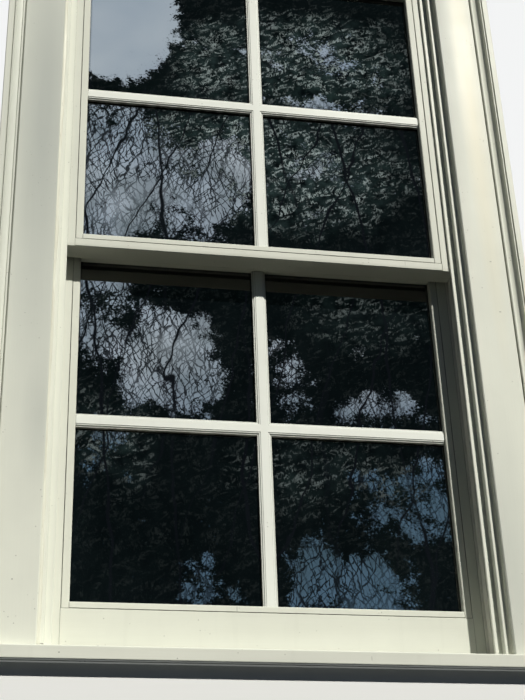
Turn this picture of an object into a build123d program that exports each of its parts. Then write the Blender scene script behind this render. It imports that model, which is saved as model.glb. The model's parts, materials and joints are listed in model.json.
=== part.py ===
from build123d import *
import os
from math import cos, radians, sin, sqrt, tan

# Double-hung sash window in its frame, four lights in each sash, in millimetres.
# X runs to the right seen from the street, Y runs into the room and Z runs up.
# The origin is on the underside of the sill, below the middle of the lower sash's outer face.
# A section is drawn as (outward distance from the glass edge, depth), so that one outline serves
# the sides and the head, and the same mitre plane cuts them all.

# Glass and glazing bars
lite_width = 279.4
lite_height = 277.0
bar_width = 22.2
bar_height = 12.0
inner_bar_height = 8.0
bar_fillet = 1.2
bar_base = 3.6
bar_ledge = 1.3
bar_flat = 12.8
pane_thickness = 3.0
cavity = 6.5
unit_edge_gap = 3.0
spacer_width = 8.7
spacer_setback = 1.5

# Sashes
sash_thickness = 35.0
stile_face = 18.3
bead_width = 12.2
bead_depth = 12.5
rail_bead = 10.2
bead_recess = 0.6
joint_chamfer = 0.8
joint_gap = 0.5
edge_ease = 1.2
bottom_rail_face = 60.6
meeting_rail_face = 14.6
meeting_overlap = 27.8
parting_gap = 3.8
lip_quirk = 1.2
lip_fillet = 1.8
ovolo_radius = 6.2
tenon_thickness = 9.0
tenon_shoulder = 2.5
travel_reserve = 64.7

# Clearances of the sashes in the frame
side_gap = 1.0
face_gap = 1.0
room_gap = 1.3
sill_gap = 1.5

# Sill
sill_slope = 12.0
nose_height = 19.0
nose_reach = 88.0
nose_ease = 2.0
horn_run = 20.0
drip_width = 4.0
drip_depth = 4.0
drip_setback = 6.0

# Jambs, casing and backband
frame_front = 50.0
jamb_depth = 116.0
jamb_thickness = 19.0
casing_width = 66.4
casing_thickness = 19.0
casing_ease = 1.5
band_width = 29.0
band_thickness = 33.0
band_quirk = 1.5
band_quirk_depth = 4.0
band_ridge = 3.5
band_ridge_rise = 2.5
band_arris = 1.4
band_groove = 2.0
band_groove_depth = 2.5
band_flat = 9.6
band_step = 1.5
frame_hole = 5.0
frame_hole_inset = 7.0
frame_hole_low = 200.0
frame_hole_high = 1160.0

# Track that holds the upper sash in from the street, with a rib and a step
stop_lap = 6.0
rib_width = 10.8
rib_thickness = 4.2
step_width = 9.8
step_rise = 12.0
track_ease = 0.9

# Stops on the room side
room_stop_width = 15.7
room_stop_ovolo = 8.0
room_stop_quirk = 1.0

# Jamb liners and sash balances
liner_wall = 1.5
slot_width = 6.0
parting_fin_thickness = 2.0
parting_fin_lap = 3.0
tube_diameter = 9.5
tube_bore = 6.4
tube_head_gap = 14.0
tab_thickness = 1.2
tab_width = 8.0
tab_hole = 3.4
rod_diameter = 5.0
rod_engagement = 20.0
shoe_width = 14.0
shoe_height = 30.0
shoe_lift = 8.0
shoe_clearance = 0.6
neck_thickness = 4.0
neck_height = 20.0
neck_depth = 5.0
neck_wall = 1.3

# Lock, keeper and lift
lock_offset = 45.0
lock_length = 64.0
lock_width = 19.0
lock_plate = 2.6
lock_setback = 11.0
lock_corner = 6.0
cam_clearance = 0.2
cam_hub_radius = 8.5
cam_thickness = 4.0
cam_reach = 21.5
cam_tongue_width = 10.0
pivot_radius = 3.0
pivot_clearance = 0.08
rivet_radius = 5.0
rivet_height = 1.2
lever_length = 34.0
lever_width = 8.0
lever_tab_height = 9.0
lever_tab_thickness = 3.0
lever_tab_round = 1.0
keeper_length = 32.0
keeper_wall = 2.0
keeper_gap = 1.0
keeper_post = 4.0
lift_length = 44.0
lift_height = 26.0
lift_wall = 3.0
lift_reach = 22.0
lift_lip = 9.0
lift_round = 1.0
lift_level = 30.0

# Weather seals
seal_width = 7.0
seal_stem = 2.6
seal_depth = 4.0
seal_clearance = 0.4

# Heights and widths that follow from the driving sizes
slope = radians(sill_slope)
sight_x = lite_width + bar_width / 2
glass_height = 2 * lite_height + bar_width
stile_width = bead_width + stile_face
tenon_length = stile_face - neck_depth - neck_wall
rebate_depth = bead_depth + 2 * pane_thickness + cavity
liner_face = stile_width + side_gap
rib_edge = stile_width - stop_lap
step_edge = rib_edge + rib_width
jamb_face = step_edge + step_width
jamb_back = jamb_face + jamb_thickness
casing_edge = jamb_face + casing_width
band_edge = casing_edge + band_width
frame_back = jamb_depth - frame_front
upper_face = -(sash_thickness + parting_gap)
track_back = upper_face - face_gap
room_stop_face = sash_thickness + room_gap
top_rail_face = stile_width - rail_bead


def sill_height(y):
    """Height of the sloping top of the sill at depth y."""
    return nose_height + (y + nose_reach) * tan(slope)


lower_bottom = sill_height(0) + sill_gap / cos(slope)
lower_sight = lower_bottom + bottom_rail_face + rail_bead
lower_sight_top = lower_sight + glass_height
lower_top = lower_sight_top + rail_bead + meeting_rail_face
upper_bottom = lower_top - meeting_overlap
upper_sight = upper_bottom + meeting_rail_face + rail_bead
upper_sight_top = upper_sight + glass_height
upper_top = upper_sight_top + stile_width
head_soffit = upper_sight_top + liner_face
travel = head_soffit - lower_top - travel_reserve
seal_place = (0, (nose_reach + sash_thickness / 2) / cos(slope))

sill_top = Plane((0, -nose_reach, nose_height), x_dir=(1, 0, 0), z_dir=(0, -sin(slope), cos(slope)))
sash_foot = sill_top.offset(sill_gap)
mitre_right = Plane((sight_x, 0, upper_sight_top), z_dir=(1, 0, -1))
mitre_left = Plane((-sight_x, 0, upper_sight_top), z_dir=(-1, 0, -1))

os.makedirs("parts", exist_ok=True)


def save(piece, name):
    """Label a finished piece and write it to its own file."""
    piece.part.label = name
    export_step(piece.part, f"parts/{name}.step")


def left_twin(piece):
    """The same piece on the other side of the window."""
    with BuildPart() as twin:
        mirror(piece.part, about=Plane.YZ)
    return twin


def side_plane(z, depth=0.0):
    """Plane across the right-hand side: x outward from the glass edge, y into the room."""
    return Plane((sight_x, depth, z), x_dir=(1, 0, 0), z_dir=(0, 0, 1))


def top_plane(z, depth=0.0):
    """Plane across a member above the glass: x up from the glass edge, y into the room."""
    return Plane((0, depth, z), x_dir=(0, 0, 1), z_dir=(-1, 0, 0))


def bottom_plane(z, depth=0.0):
    """Plane across a member below the glass: x down from the glass edge, y into the room."""
    return Plane((0, depth, z), x_dir=(0, 0, -1), z_dir=(1, 0, 0))


def upright(outline, top, mitred=False):
    """Right-hand frame member with its foot scribed to the slope of the sill."""
    with BuildPart() as piece:
        with BuildSketch(side_plane(0)):
            with BuildLine():
                outline()
            make_face()
        extrude(amount=top)
        split(bisect_by=sill_top, keep=Keep.TOP)
        if mitred:
            split(bisect_by=mitre_right, keep=Keep.TOP)
    return piece


def crosspiece(outline, half_length, mitred=False):
    """Frame member over the glass, square or mitred at both ends."""
    with BuildPart() as piece:
        with BuildSketch(top_plane(upper_sight_top)):
            with BuildLine():
                outline()
            make_face()
        extrude(amount=half_length, both=True)
        if mitred:
            split(bisect_by=mitre_right, keep=Keep.BOTTOM)
            split(bisect_by=mitre_left, keep=Keep.BOTTOM)
    return piece


# Sill

sill_half = sight_x + jamb_back
horn_half = sight_x + band_edge + horn_run


def sill_outline():
    """Vertical section of the whole sill, street side on the left."""
    Polyline(
        (-nose_reach, 0),
        (-nose_reach, nose_height),
        (frame_back, sill_height(frame_back)),
        (frame_back, 0),
        close=True,
    )


with BuildPart() as sill:
    with BuildSketch(Plane.YZ):
        with BuildLine():
            sill_outline()
        make_face()
    extrude(amount=horn_half, both=True)
    with BuildSketch(Plane.XY):
        for side in (-1, 1):
            with Locations((side * (sill_half + horn_half) / 2, (frame_back - frame_front) / 2)):
                Rectangle(horn_half - sill_half, jamb_depth)
    extrude(amount=sill_height(frame_back), mode=Mode.SUBTRACT)
    with BuildSketch(Plane.XY):
        with Locations((0, drip_setback + drip_width / 2 - nose_reach)):
            Rectangle(2 * horn_half, drip_width)
    extrude(amount=drip_depth, mode=Mode.SUBTRACT)
    fillet(sill.edges().filter_by(Axis.X).group_by(Axis.Y)[0], radius=nose_ease)
save(sill, "sill")


# Jambs and head

def jamb_outline():
    """Plan of a jamb board."""
    Polyline(
        (jamb_face, -frame_front),
        (jamb_back, -frame_front),
        (jamb_back, frame_back),
        (jamb_face, frame_back),
        close=True,
    )


def head_outline():
    """Section of the head, with the thicker part that fills the space over the sashes."""
    Polyline(
        (jamb_face, -frame_front),
        (jamb_back, -frame_front),
        (jamb_back, frame_back),
        (jamb_face, frame_back),
        (jamb_face, room_stop_face),
        (liner_face, room_stop_face),
        (liner_face, track_back),
        (jamb_face, track_back),
        close=True,
    )


jamb_blank = upright(jamb_outline, upper_sight_top + jamb_face)
with BuildPart() as jamb_right:
    add(jamb_blank.part)
    with BuildSketch(Plane.YZ.offset(sight_x + jamb_face)):
        with Locations((frame_back - frame_hole_inset, frame_hole_low)):
            Circle(frame_hole / 2)
        with Locations((frame_back - frame_hole_inset, frame_hole_high)):
            Circle(frame_hole / 2)
    extrude(amount=jamb_thickness, mode=Mode.SUBTRACT)
save(jamb_right, "jamb_right")
save(left_twin(jamb_right), "jamb_left")

head_blank = crosspiece(head_outline, sill_half)
with BuildPart() as head_jamb:
    add(head_blank.part)
    with BuildSketch(Plane.XY.offset(head_soffit)):
        for side in (-1, 1):
            with Locations((side * (sill_half - jamb_thickness / 2), frame_back - jamb_depth / 2)):
                Rectangle(jamb_thickness, jamb_depth)
    extrude(amount=jamb_face - liner_face, mode=Mode.SUBTRACT)
save(head_jamb, "head_jamb")


# Track round the upper sash: a rib that laps the sash and a step up to the casing

def track_outline():
    """Section of the track that keeps the upper sash in."""
    rib_front = track_back - rib_thickness
    step_front = rib_front - step_rise
    Polyline(
        (rib_edge, track_back),
        (rib_edge, rib_front + track_ease),
        (rib_edge + track_ease, rib_front),
        (step_edge, rib_front),
        (step_edge, step_front + track_ease),
        (step_edge + track_ease, step_front),
        (jamb_face, step_front),
        (jamb_face, track_back),
        close=True,
    )


track_right = upright(track_outline, upper_sight_top + jamb_face, mitred=True)
save(track_right, "track_right")
save(left_twin(track_right), "track_left")
save(crosspiece(track_outline, sill_half, mitred=True), "track_head")


# Casing and backband

casing_front = frame_front + casing_thickness
band_front = frame_front + band_thickness


def casing_outline():
    """Section of the flat casing, with its two front edges eased."""
    Polyline(
        (jamb_face, -frame_front),
        (jamb_face, casing_ease - casing_front),
        (jamb_face + casing_ease, -casing_front),
        (casing_edge - casing_ease, -casing_front),
        (casing_edge, casing_ease - casing_front),
        (casing_edge, -frame_front),
        close=True,
    )


def band_outline():
    """Section of the backband: quirk, small ridge, cove, arris, groove and outer flat."""
    quirk_floor = band_quirk_depth - casing_front
    ridge_start = casing_edge + band_quirk
    ridge_end = ridge_start + band_ridge
    ridge_level = -casing_front - band_ridge_rise
    ridge_round = band_ridge / 2
    flat_start = band_edge - band_flat
    groove_start = flat_start - band_groove
    cove_end = groove_start - band_arris
    cove_level = band_step - band_front
    groove_floor = cove_level + band_groove_depth
    cove_start = (ridge_end, ridge_level + ridge_round)
    deepening = (sqrt(0.5), 1 - sqrt(0.5))
    cove_middle = (
        cove_start[0] + (cove_end - cove_start[0]) * deepening[0],
        cove_start[1] + (cove_level - cove_start[1]) * deepening[1],
    )
    Polyline(
        (ridge_start, ridge_level + ridge_round),
        (ridge_start, quirk_floor),
        (casing_edge, quirk_floor),
        (casing_edge, -frame_front),
        (band_edge, -frame_front),
        (band_edge, edge_ease - band_front),
        (band_edge - edge_ease, -band_front),
        (flat_start, -band_front),
        (flat_start, groove_floor),
        (groove_start, groove_floor),
        (groove_start, cove_level),
        (cove_end, cove_level),
    )
    ThreePointArc((cove_end, cove_level), cove_middle, cove_start)
    ThreePointArc(
        (ridge_end, ridge_level + ridge_round),
        ((ridge_start + ridge_end) / 2, ridge_level),
        (ridge_start, ridge_level + ridge_round),
    )


casing_right = upright(casing_outline, upper_sight_top + jamb_face)
save(casing_right, "casing_right")
save(left_twin(casing_right), "casing_left")
save(crosspiece(casing_outline, sight_x + casing_edge), "casing_head")

backband_right = upright(band_outline, upper_sight_top + band_edge, mitred=True)
save(backband_right, "backband_right")
save(left_twin(backband_right), "backband_left")
save(crosspiece(band_outline, sight_x + band_edge, mitred=True), "backband_head")


# Stops on the room side

def room_stop_outline():
    """Section of the inner stop, with an ovolo on its room edge."""
    room_edge = room_stop_face + room_stop_width
    start = (rib_edge, room_edge - room_stop_ovolo - room_stop_quirk)
    end = (rib_edge + room_stop_ovolo, room_edge - room_stop_quirk)
    bulge = room_stop_ovolo * (1 - sqrt(0.5))
    ThreePointArc(start, (rib_edge + bulge, end[1] - bulge), end)
    Polyline(
        end,
        (rib_edge + room_stop_ovolo, room_edge),
        (jamb_face, room_edge),
        (jamb_face, room_stop_face),
        (rib_edge, room_stop_face),
        start,
    )


room_stop_right = upright(room_stop_outline, upper_sight_top + jamb_face, mitred=True)
save(room_stop_right, "room_stop_right")
save(left_twin(room_stop_right), "room_stop_left")
save(crosspiece(room_stop_outline, sill_half, mitred=True), "room_stop_head")


# Jamb liners: two slotted pockets, with a fin between the sashes

lower_middle = sash_thickness / 2
upper_middle = upper_face + sash_thickness / 2
parting_y = -parting_gap / 2
pocket_face = liner_face + liner_wall
pocket_back = jamb_face - liner_wall
pocket_ends = (
    (track_back + liner_wall, parting_y - liner_wall / 2),
    (parting_y + liner_wall / 2, room_stop_face - liner_wall),
)

with BuildPart() as liner_right:
    with BuildSketch(side_plane(0)):
        with Locations(((liner_face + jamb_face) / 2, (track_back + room_stop_face) / 2)):
            Rectangle(jamb_face - liner_face, room_stop_face - track_back)
        for near, far in pocket_ends:
            with Locations(((pocket_face + pocket_back) / 2, (near + far) / 2)):
                Rectangle(pocket_back - pocket_face, far - near, mode=Mode.SUBTRACT)
        for middle in (upper_middle, lower_middle):
            with Locations((liner_face + liner_wall / 2, middle)):
                Rectangle(liner_wall, slot_width, mode=Mode.SUBTRACT)
        with Locations((liner_face - (side_gap + parting_fin_lap) / 2, parting_y)):
            Rectangle(side_gap + parting_fin_lap, parting_fin_thickness)
    extrude(amount=head_soffit)
    split(bisect_by=sill_top, keep=Keep.TOP)
save(liner_right, "liner_right")
save(left_twin(liner_right), "liner_left")


# Sash balances: a tube fixed at the top of each pocket and a rod that rides with the sash

balance_x = sight_x + (pocket_face + pocket_back) / 2
tube_top = head_soffit - tube_head_gap
lower_shoe = lower_bottom + shoe_lift + sash_thickness * tan(slope)
upper_shoe = upper_bottom + shoe_lift
lower_tube_foot = lower_shoe + shoe_height + travel + shoe_clearance
upper_tube_foot = upper_shoe + shoe_height + shoe_clearance


def balance_tube(middle, foot):
    """Right-hand tube, closed above its bore and screwed through a flat tab to the liner's back."""
    with BuildPart() as tube:
        with BuildSketch(Plane.XY.offset(foot)):
            with Locations((balance_x, middle)):
                Circle(tube_diameter / 2)
        extrude(amount=tube_top - foot)
        with BuildSketch(Plane.XY.offset(foot)):
            with Locations((balance_x, middle)):
                Circle(tube_bore / 2)
        extrude(amount=tube_top - foot - tube_diameter, mode=Mode.SUBTRACT)
        with BuildSketch(Plane.XY.offset(tube_top - tube_diameter)):
            with Locations((sight_x + pocket_back - tab_thickness / 2, middle)):
                Rectangle(tab_thickness, tab_width)
        extrude(amount=tube_diameter + tube_head_gap - shoe_clearance)
        with BuildSketch(Plane.YZ.offset(sight_x + pocket_back - tab_thickness)):
            with Locations((middle, tube_top + tube_head_gap / 2)):
                Circle(tab_hole / 2)
        extrude(amount=tab_thickness, mode=Mode.SUBTRACT)
    return tube


def balance_rod(middle, shoe, rod_top):
    """Right-hand rod with the shoe that fills the pocket and the neck that enters the stile."""
    with BuildPart() as rod:
        with BuildSketch(Plane.XY.offset(shoe)):
            with Locations((balance_x, middle)):
                Rectangle(pocket_back - pocket_face - 2 * shoe_clearance, shoe_width)
        extrude(amount=shoe_height)
        neck_start = sight_x + stile_width - neck_depth
        with BuildSketch(Plane.XY.offset(shoe + (shoe_height - neck_height) / 2)):
            with Locations(((neck_start + balance_x) / 2, middle)):
                Rectangle(balance_x - neck_start, neck_thickness)
        extrude(amount=neck_height)
        with BuildSketch(Plane.XY.offset(shoe + shoe_height)):
            with Locations((balance_x, middle)):
                Circle(rod_diameter / 2)
        extrude(amount=rod_top - shoe - shoe_height)
    return rod


rod_length = travel + shoe_clearance + rod_engagement
lower_rod_top = lower_shoe + shoe_height + rod_length
upper_rod_top = upper_shoe + shoe_height + rod_length

for sash, middle, foot, shoe, rod_top in (
    ("lower", lower_middle, lower_tube_foot, lower_shoe, lower_rod_top),
    ("upper", upper_middle, upper_tube_foot, upper_shoe, upper_rod_top),
):
    tube = balance_tube(middle, foot)
    rod = balance_rod(middle, shoe, rod_top)
    save(tube, f"{sash}_balance_tube_right")
    save(left_twin(tube), f"{sash}_balance_tube_left")
    save(rod, f"{sash}_balance_rod_right")
    save(left_twin(rod), f"{sash}_balance_rod_left")


# Sash members

def member_outline(bead, face, moulded=True):
    """Section of a stile or rail: rebate for bead and glass outside, moulded lip inside."""
    edge = bead + face
    Polyline(
        (bead, rebate_depth),
        (bead, joint_chamfer),
        (bead + joint_chamfer, 0),
        (edge - edge_ease, 0),
        (edge, edge_ease),
        (edge, sash_thickness),
    )
    if moulded:
        lip_start = (lip_fillet + ovolo_radius, sash_thickness - lip_quirk)
        lip_end = (lip_fillet, lip_start[1] - ovolo_radius)
        bulge = ovolo_radius * (1 - sqrt(0.5))
        Polyline((edge, sash_thickness), (lip_start[0], sash_thickness), lip_start)
        ThreePointArc(lip_start, (lip_end[0] + bulge, lip_start[1] - bulge), lip_end)
        Polyline(lip_end, (0, lip_end[1]), (0, rebate_depth), (bead, rebate_depth))
    else:
        Polyline((edge, sash_thickness), (0, sash_thickness), (0, rebate_depth), (bead, rebate_depth))


def tenon(face_y, low, high, mode):
    """Stub tenon on the right-hand end of a rail, or the mortise that takes it."""
    shoulder_x = sight_x + bead_width
    with BuildSketch(Plane.XY.offset(low)) as plan:
        with Locations((shoulder_x + tenon_length / 2, face_y + sash_thickness / 2)):
            Rectangle(tenon_length, tenon_thickness)
    extrude(plan.sketch, amount=high - low, mode=mode)


def stile(face_y, foot, top, tenons, shoe, bevelled=False):
    """Right-hand stile, full height, with its mortises and the slot for the balance neck."""
    with BuildPart() as piece:
        with BuildSketch(side_plane(foot, face_y)):
            with BuildLine():
                member_outline(bead_width, stile_face)
            make_face()
        extrude(amount=top - foot)
        for low, high in tenons:
            tenon(face_y, low, high, Mode.SUBTRACT)
        with BuildSketch(Plane.XY.offset(shoe + (shoe_height - neck_height) / 2)):
            with Locations((sight_x + stile_width - neck_depth / 2, face_y + sash_thickness / 2)):
                Rectangle(neck_depth, neck_thickness)
        extrude(amount=neck_height, mode=Mode.SUBTRACT)
        if bevelled:
            split(bisect_by=sash_foot, keep=Keep.TOP)
    return piece


def rail(plane, face_y, face, tenons, stiles, moulded=True, bevelled=False):
    """Rail between the stiles, tenoned into them and coped over their moulded lips."""
    with BuildPart() as piece:
        with BuildSketch(plane):
            with BuildLine():
                member_outline(rail_bead, face, moulded)
            make_face()
        extrude(amount=sight_x + bead_width, both=True)
        tenon(face_y, tenons[0], tenons[1], Mode.ADD)
        mirror(piece.part, about=Plane.YZ)
        for neighbour in stiles:
            add(neighbour.part, mode=Mode.SUBTRACT)
        if bevelled:
            split(bisect_by=sash_foot, keep=Keep.TOP)
    return piece


def bead_outline(width):
    """Section of a glazing bead: chamfered at the joint, eased at the glass."""
    front = bead_recess
    outside = width - joint_gap
    Polyline(
        (0, bead_depth),
        (0, front + edge_ease),
        (edge_ease, front),
        (outside - joint_chamfer, front),
        (outside, front + joint_chamfer),
        (outside, bead_depth),
        close=True,
    )


def bead_upright(face_y, foot, top):
    """Right-hand glazing bead, running past the rail beads."""
    with BuildPart() as piece:
        with BuildSketch(side_plane(foot, face_y)):
            with BuildLine():
                bead_outline(bead_width)
            make_face()
        extrude(amount=top - foot)
    return piece


def bead_level(plane):
    """Glazing bead along a rail, fitted between the upright beads."""
    with BuildPart() as piece:
        with BuildSketch(plane):
            with BuildLine():
                bead_outline(rail_bead)
            make_face()
        extrude(amount=sight_x, both=True)
    return piece


def bar_outline(height, outward):
    """Section of a glazing bar: square base, ledge, ovolo, fillet and flat; outward is -1 or 1."""
    half = bar_width / 2
    flat = bar_flat / 2
    ledge = half - bar_ledge
    crown = height - bar_fillet
    base = bar_base * height / bar_height
    swell = (flat + (ledge - flat) * sqrt(0.5), base + (crown - base) * sqrt(0.5))
    for side in (-1, 1):
        Polyline((0, 0), (side * half, 0), (side * half, outward * base), (side * ledge, outward * base))
        ThreePointArc(
            (side * ledge, outward * base),
            (side * swell[0], outward * swell[1]),
            (side * flat, outward * crown),
        )
        Polyline((side * flat, outward * crown), (side * flat, outward * height), (0, outward * height))


def bar_solid(plane, height, outward, reach):
    """A glazing bar of the given length, both ways from the plane."""
    with BuildPart() as piece:
        with BuildSketch(plane):
            with BuildLine():
                bar_outline(height, outward)
            make_face()
        extrude(amount=reach, both=True)
    return piece


def outer_bars(face_y, middle_z):
    """The upright outer bar and the right-hand level bar, coped over it."""
    glass_y = face_y + bead_depth
    bar_up = bar_solid(Plane((0, glass_y, middle_z)), bar_height, -1, glass_height / 2)
    across = bar_solid(top_plane(middle_z, glass_y), bar_height, -1, sight_x)
    with BuildPart() as bar_side:
        add(across.part)
        split(bisect_by=Plane.YZ, keep=Keep.TOP)
        add(bar_up.part, mode=Mode.SUBTRACT)
    return bar_up, bar_side


def inner_grille(face_y, middle_z):
    """The cross of flatter bars on the room side of the glass."""
    glass_y = face_y + rebate_depth
    bar_up = bar_solid(Plane((0, glass_y, middle_z)), inner_bar_height, 1, glass_height / 2)
    across = bar_solid(top_plane(middle_z, glass_y), inner_bar_height, 1, sight_x)
    with BuildPart() as grille:
        add(bar_up.part)
        add(across.part)
    return grille


def glass_panes(face_y, middle_z):
    """The two panes of a sealed glazing unit."""
    half_width = sight_x + bead_width - unit_edge_gap
    height = glass_height + 2 * (rail_bead - unit_edge_gap)
    with BuildPart() as panes:
        for start in (bead_depth, bead_depth + pane_thickness + cavity):
            with BuildSketch(Plane((0, face_y + start, middle_z), x_dir=(1, 0, 0), z_dir=(0, 1, 0))):
                Rectangle(2 * half_width, height)
            extrude(amount=pane_thickness)
    return panes


def glass_spacer(face_y, middle_z):
    """The hollow bar that holds the two panes apart all the way round."""
    half_width = sight_x + bead_width - unit_edge_gap - spacer_setback
    height = glass_height + 2 * (rail_bead - unit_edge_gap - spacer_setback)
    start = face_y + bead_depth + pane_thickness
    with BuildPart() as spacer:
        with BuildSketch(Plane((0, start, middle_z), x_dir=(1, 0, 0), z_dir=(0, 1, 0))):
            Rectangle(2 * half_width, height)
            Rectangle(2 * (half_width - spacer_width), height - 2 * spacer_width, mode=Mode.SUBTRACT)
        extrude(amount=cavity)
    return spacer


def save_glazing(sash, face_y, sight):
    """Beads, panes, spacer and bars of one sash."""
    sight_top = sight + glass_height
    middle_z = (sight + sight_top) / 2
    bead_end = rail_bead - joint_gap
    bead_side = bead_upright(face_y, sight - bead_end, sight_top + bead_end)
    bar_up, bar_side = outer_bars(face_y, middle_z)
    save(bead_side, f"{sash}_bead_right")
    save(left_twin(bead_side), f"{sash}_bead_left")
    save(bead_level(bottom_plane(sight, face_y)), f"{sash}_bead_bottom")
    save(bead_level(top_plane(sight_top, face_y)), f"{sash}_bead_top")
    save(glass_panes(face_y, middle_z), f"{sash}_glass")
    save(glass_spacer(face_y, middle_z), f"{sash}_spacer")
    save(bar_up, f"{sash}_bar_upright")
    save(bar_side, f"{sash}_bar_right")
    save(left_twin(bar_side), f"{sash}_bar_left")
    save(inner_grille(face_y, middle_z), f"{sash}_inner_grille")


# Lower sash

bevel_rise = sash_thickness * tan(slope)
lower_tenons = (
    (lower_bottom + bevel_rise + tenon_shoulder, lower_sight - rail_bead - tenon_shoulder),
    (lower_sight_top + rail_bead + tenon_shoulder, lower_top - tenon_shoulder),
)
lower_stile = stile(0, 0, lower_top, lower_tenons, lower_shoe, bevelled=True)
lower_stiles = (lower_stile, left_twin(lower_stile))
save(lower_stiles[0], "lower_stile_right")
save(lower_stiles[1], "lower_stile_left")

# The bottom rail's blank is taller than its face by the bevel, which the sill's slope then trims
bottom_rail_blank = rail(
    bottom_plane(lower_sight), 0, bottom_rail_face + bevel_rise, lower_tenons[0], lower_stiles, bevelled=True
)
with BuildPart() as lower_bottom_rail:
    add(bottom_rail_blank.part)
    with BuildSketch(sash_foot):
        with Locations(seal_place):
            Rectangle(2 * sight_x, seal_stem)
    extrude(amount=seal_depth, mode=Mode.SUBTRACT)
save(lower_bottom_rail, "lower_bottom_rail")

meeting_rail_blank = rail(
    top_plane(lower_sight_top), 0, meeting_rail_face, lower_tenons[1], lower_stiles
)
seal_level = lower_top - meeting_rail_face / 2
with BuildPart() as lower_meeting_rail:
    add(meeting_rail_blank.part)
    with BuildSketch(Plane.XY.offset(seal_level - seal_stem / 2)):
        with Locations((0, seal_depth / 2)):
            Rectangle(2 * sight_x, seal_depth)
    extrude(amount=seal_stem, mode=Mode.SUBTRACT)
save(lower_meeting_rail, "lower_meeting_rail")

save_glazing("lower", 0, lower_sight)


# Upper sash

upper_tenons = (
    (upper_bottom + tenon_shoulder, upper_sight - rail_bead - tenon_shoulder),
    (upper_sight_top + rail_bead + tenon_shoulder, upper_top - tenon_shoulder),
)
upper_stile = stile(upper_face, upper_bottom, upper_top, upper_tenons, upper_shoe)
upper_stiles = (upper_stile, left_twin(upper_stile))
save(upper_stiles[0], "upper_stile_right")
save(upper_stiles[1], "upper_stile_left")

upper_meeting_rail = rail(
    bottom_plane(upper_sight, upper_face), upper_face, meeting_rail_face, upper_tenons[0], upper_stiles,
    moulded=False,
)
save(upper_meeting_rail, "upper_meeting_rail")

upper_top_rail = rail(
    top_plane(upper_sight_top, upper_face), upper_face, top_rail_face, upper_tenons[1], upper_stiles
)
save(upper_top_rail, "upper_top_rail")

save_glazing("upper", upper_face, upper_sight)


# Weather seals, each held by its stem in a kerf

with BuildPart() as sill_seal:
    with BuildSketch(sash_foot):
        with Locations(seal_place):
            Rectangle(2 * sight_x, seal_stem)
    extrude(amount=seal_depth)
    with BuildSketch(sash_foot):
        with Locations(seal_place):
            Rectangle(2 * sight_x, seal_width)
    extrude(amount=seal_clearance - sill_gap)
save(sill_seal, "sill_seal")

with BuildPart() as meeting_seal:
    with BuildSketch(Plane.XY.offset(seal_level - seal_stem / 2)):
        with Locations((0, seal_depth / 2)):
            Rectangle(2 * sight_x, seal_depth)
    extrude(amount=seal_stem)
    with BuildSketch(Plane.XY.offset(seal_level - seal_width / 2)):
        with Locations((0, (seal_clearance - parting_gap) / 2)):
            Rectangle(2 * sight_x, parting_gap - seal_clearance)
    extrude(amount=seal_width)
save(meeting_seal, "meeting_seal")


# Lock: a plate with a riveted pivot on the lower sash, and a cam that turns under the keeper

cam_level = lower_top + lock_plate + cam_clearance
cam_top = cam_level + cam_thickness
cam_straight = cam_reach - cam_tongue_width / 2
with BuildPart() as lock_base:
    with BuildSketch(Plane.XY.offset(lower_top)):
        with Locations((lock_offset, lock_setback)):
            RectangleRounded(lock_length, lock_width, lock_corner)
            with Locations((-lock_length / 2 + lock_corner, 0), (lock_length / 2 - lock_corner, 0)):
                Circle(tab_hole / 2, mode=Mode.SUBTRACT)
    extrude(amount=lock_plate)
    with BuildSketch(Plane.XY.offset(lower_top + lock_plate)):
        with Locations((lock_offset, lock_setback)):
            Circle(pivot_radius)
    extrude(amount=cam_thickness + 2 * cam_clearance)
    with BuildSketch(Plane.XY.offset(cam_top + cam_clearance)):
        with Locations((lock_offset, lock_setback)):
            Circle(rivet_radius)
    extrude(amount=rivet_height)
save(lock_base, "lock_base")

with BuildPart() as lock_cam:
    with BuildSketch(Plane.XY.offset(cam_level)):
        with Locations((lock_offset, lock_setback)):
            Circle(cam_hub_radius)
        with Locations((lock_offset, lock_setback + cam_straight / 2)):
            Rectangle(cam_tongue_width, cam_straight)
        with Locations((lock_offset, lock_setback + cam_straight)):
            Circle(cam_tongue_width / 2)
        with Locations((lock_offset + lever_length / 2, lock_setback)):
            Rectangle(lever_length, lever_width)
        with Locations((lock_offset, lock_setback)):
            Circle(pivot_radius + pivot_clearance, mode=Mode.SUBTRACT)
    extrude(amount=cam_thickness)
    with BuildSketch(Plane.XY.offset(cam_level)):
        with Locations((lock_offset + lever_length - lever_tab_thickness / 2, lock_setback)):
            Rectangle(lever_tab_thickness, lever_width)
    extrude(amount=cam_thickness + lever_tab_height)
    fillet(lock_cam.edges().filter_by(Axis.Y).group_by(Axis.Z)[-1], radius=lever_tab_round)
save(lock_cam, "lock_cam")

keeper_back = upper_face + rebate_depth
keeper_depth = sash_thickness - rebate_depth - side_gap / 2
keeper_underside = cam_top + keeper_gap
with BuildPart() as keeper:
    keeper_mid_y = keeper_back + keeper_depth / 2
    with BuildSketch(Plane.XY.offset(upper_sight)):
        with Locations((lock_offset, keeper_mid_y)):
            Rectangle(keeper_length, keeper_depth)
    extrude(amount=keeper_wall)
    with BuildSketch(Plane.XY.offset(upper_sight)):
        with Locations((lock_offset, keeper_back + keeper_wall / 2)):
            Rectangle(keeper_length, keeper_wall)
        with Locations((lock_offset + (keeper_length - keeper_post) / 2, keeper_mid_y)):
            Rectangle(keeper_post, keeper_depth)
    extrude(amount=keeper_underside - upper_sight)
    with BuildSketch(Plane.XY.offset(keeper_underside)):
        with Locations((lock_offset, keeper_mid_y)):
            Rectangle(keeper_length, keeper_depth)
    extrude(amount=keeper_wall)
save(keeper, "keeper")


# Finger lift on the bottom rail

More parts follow.
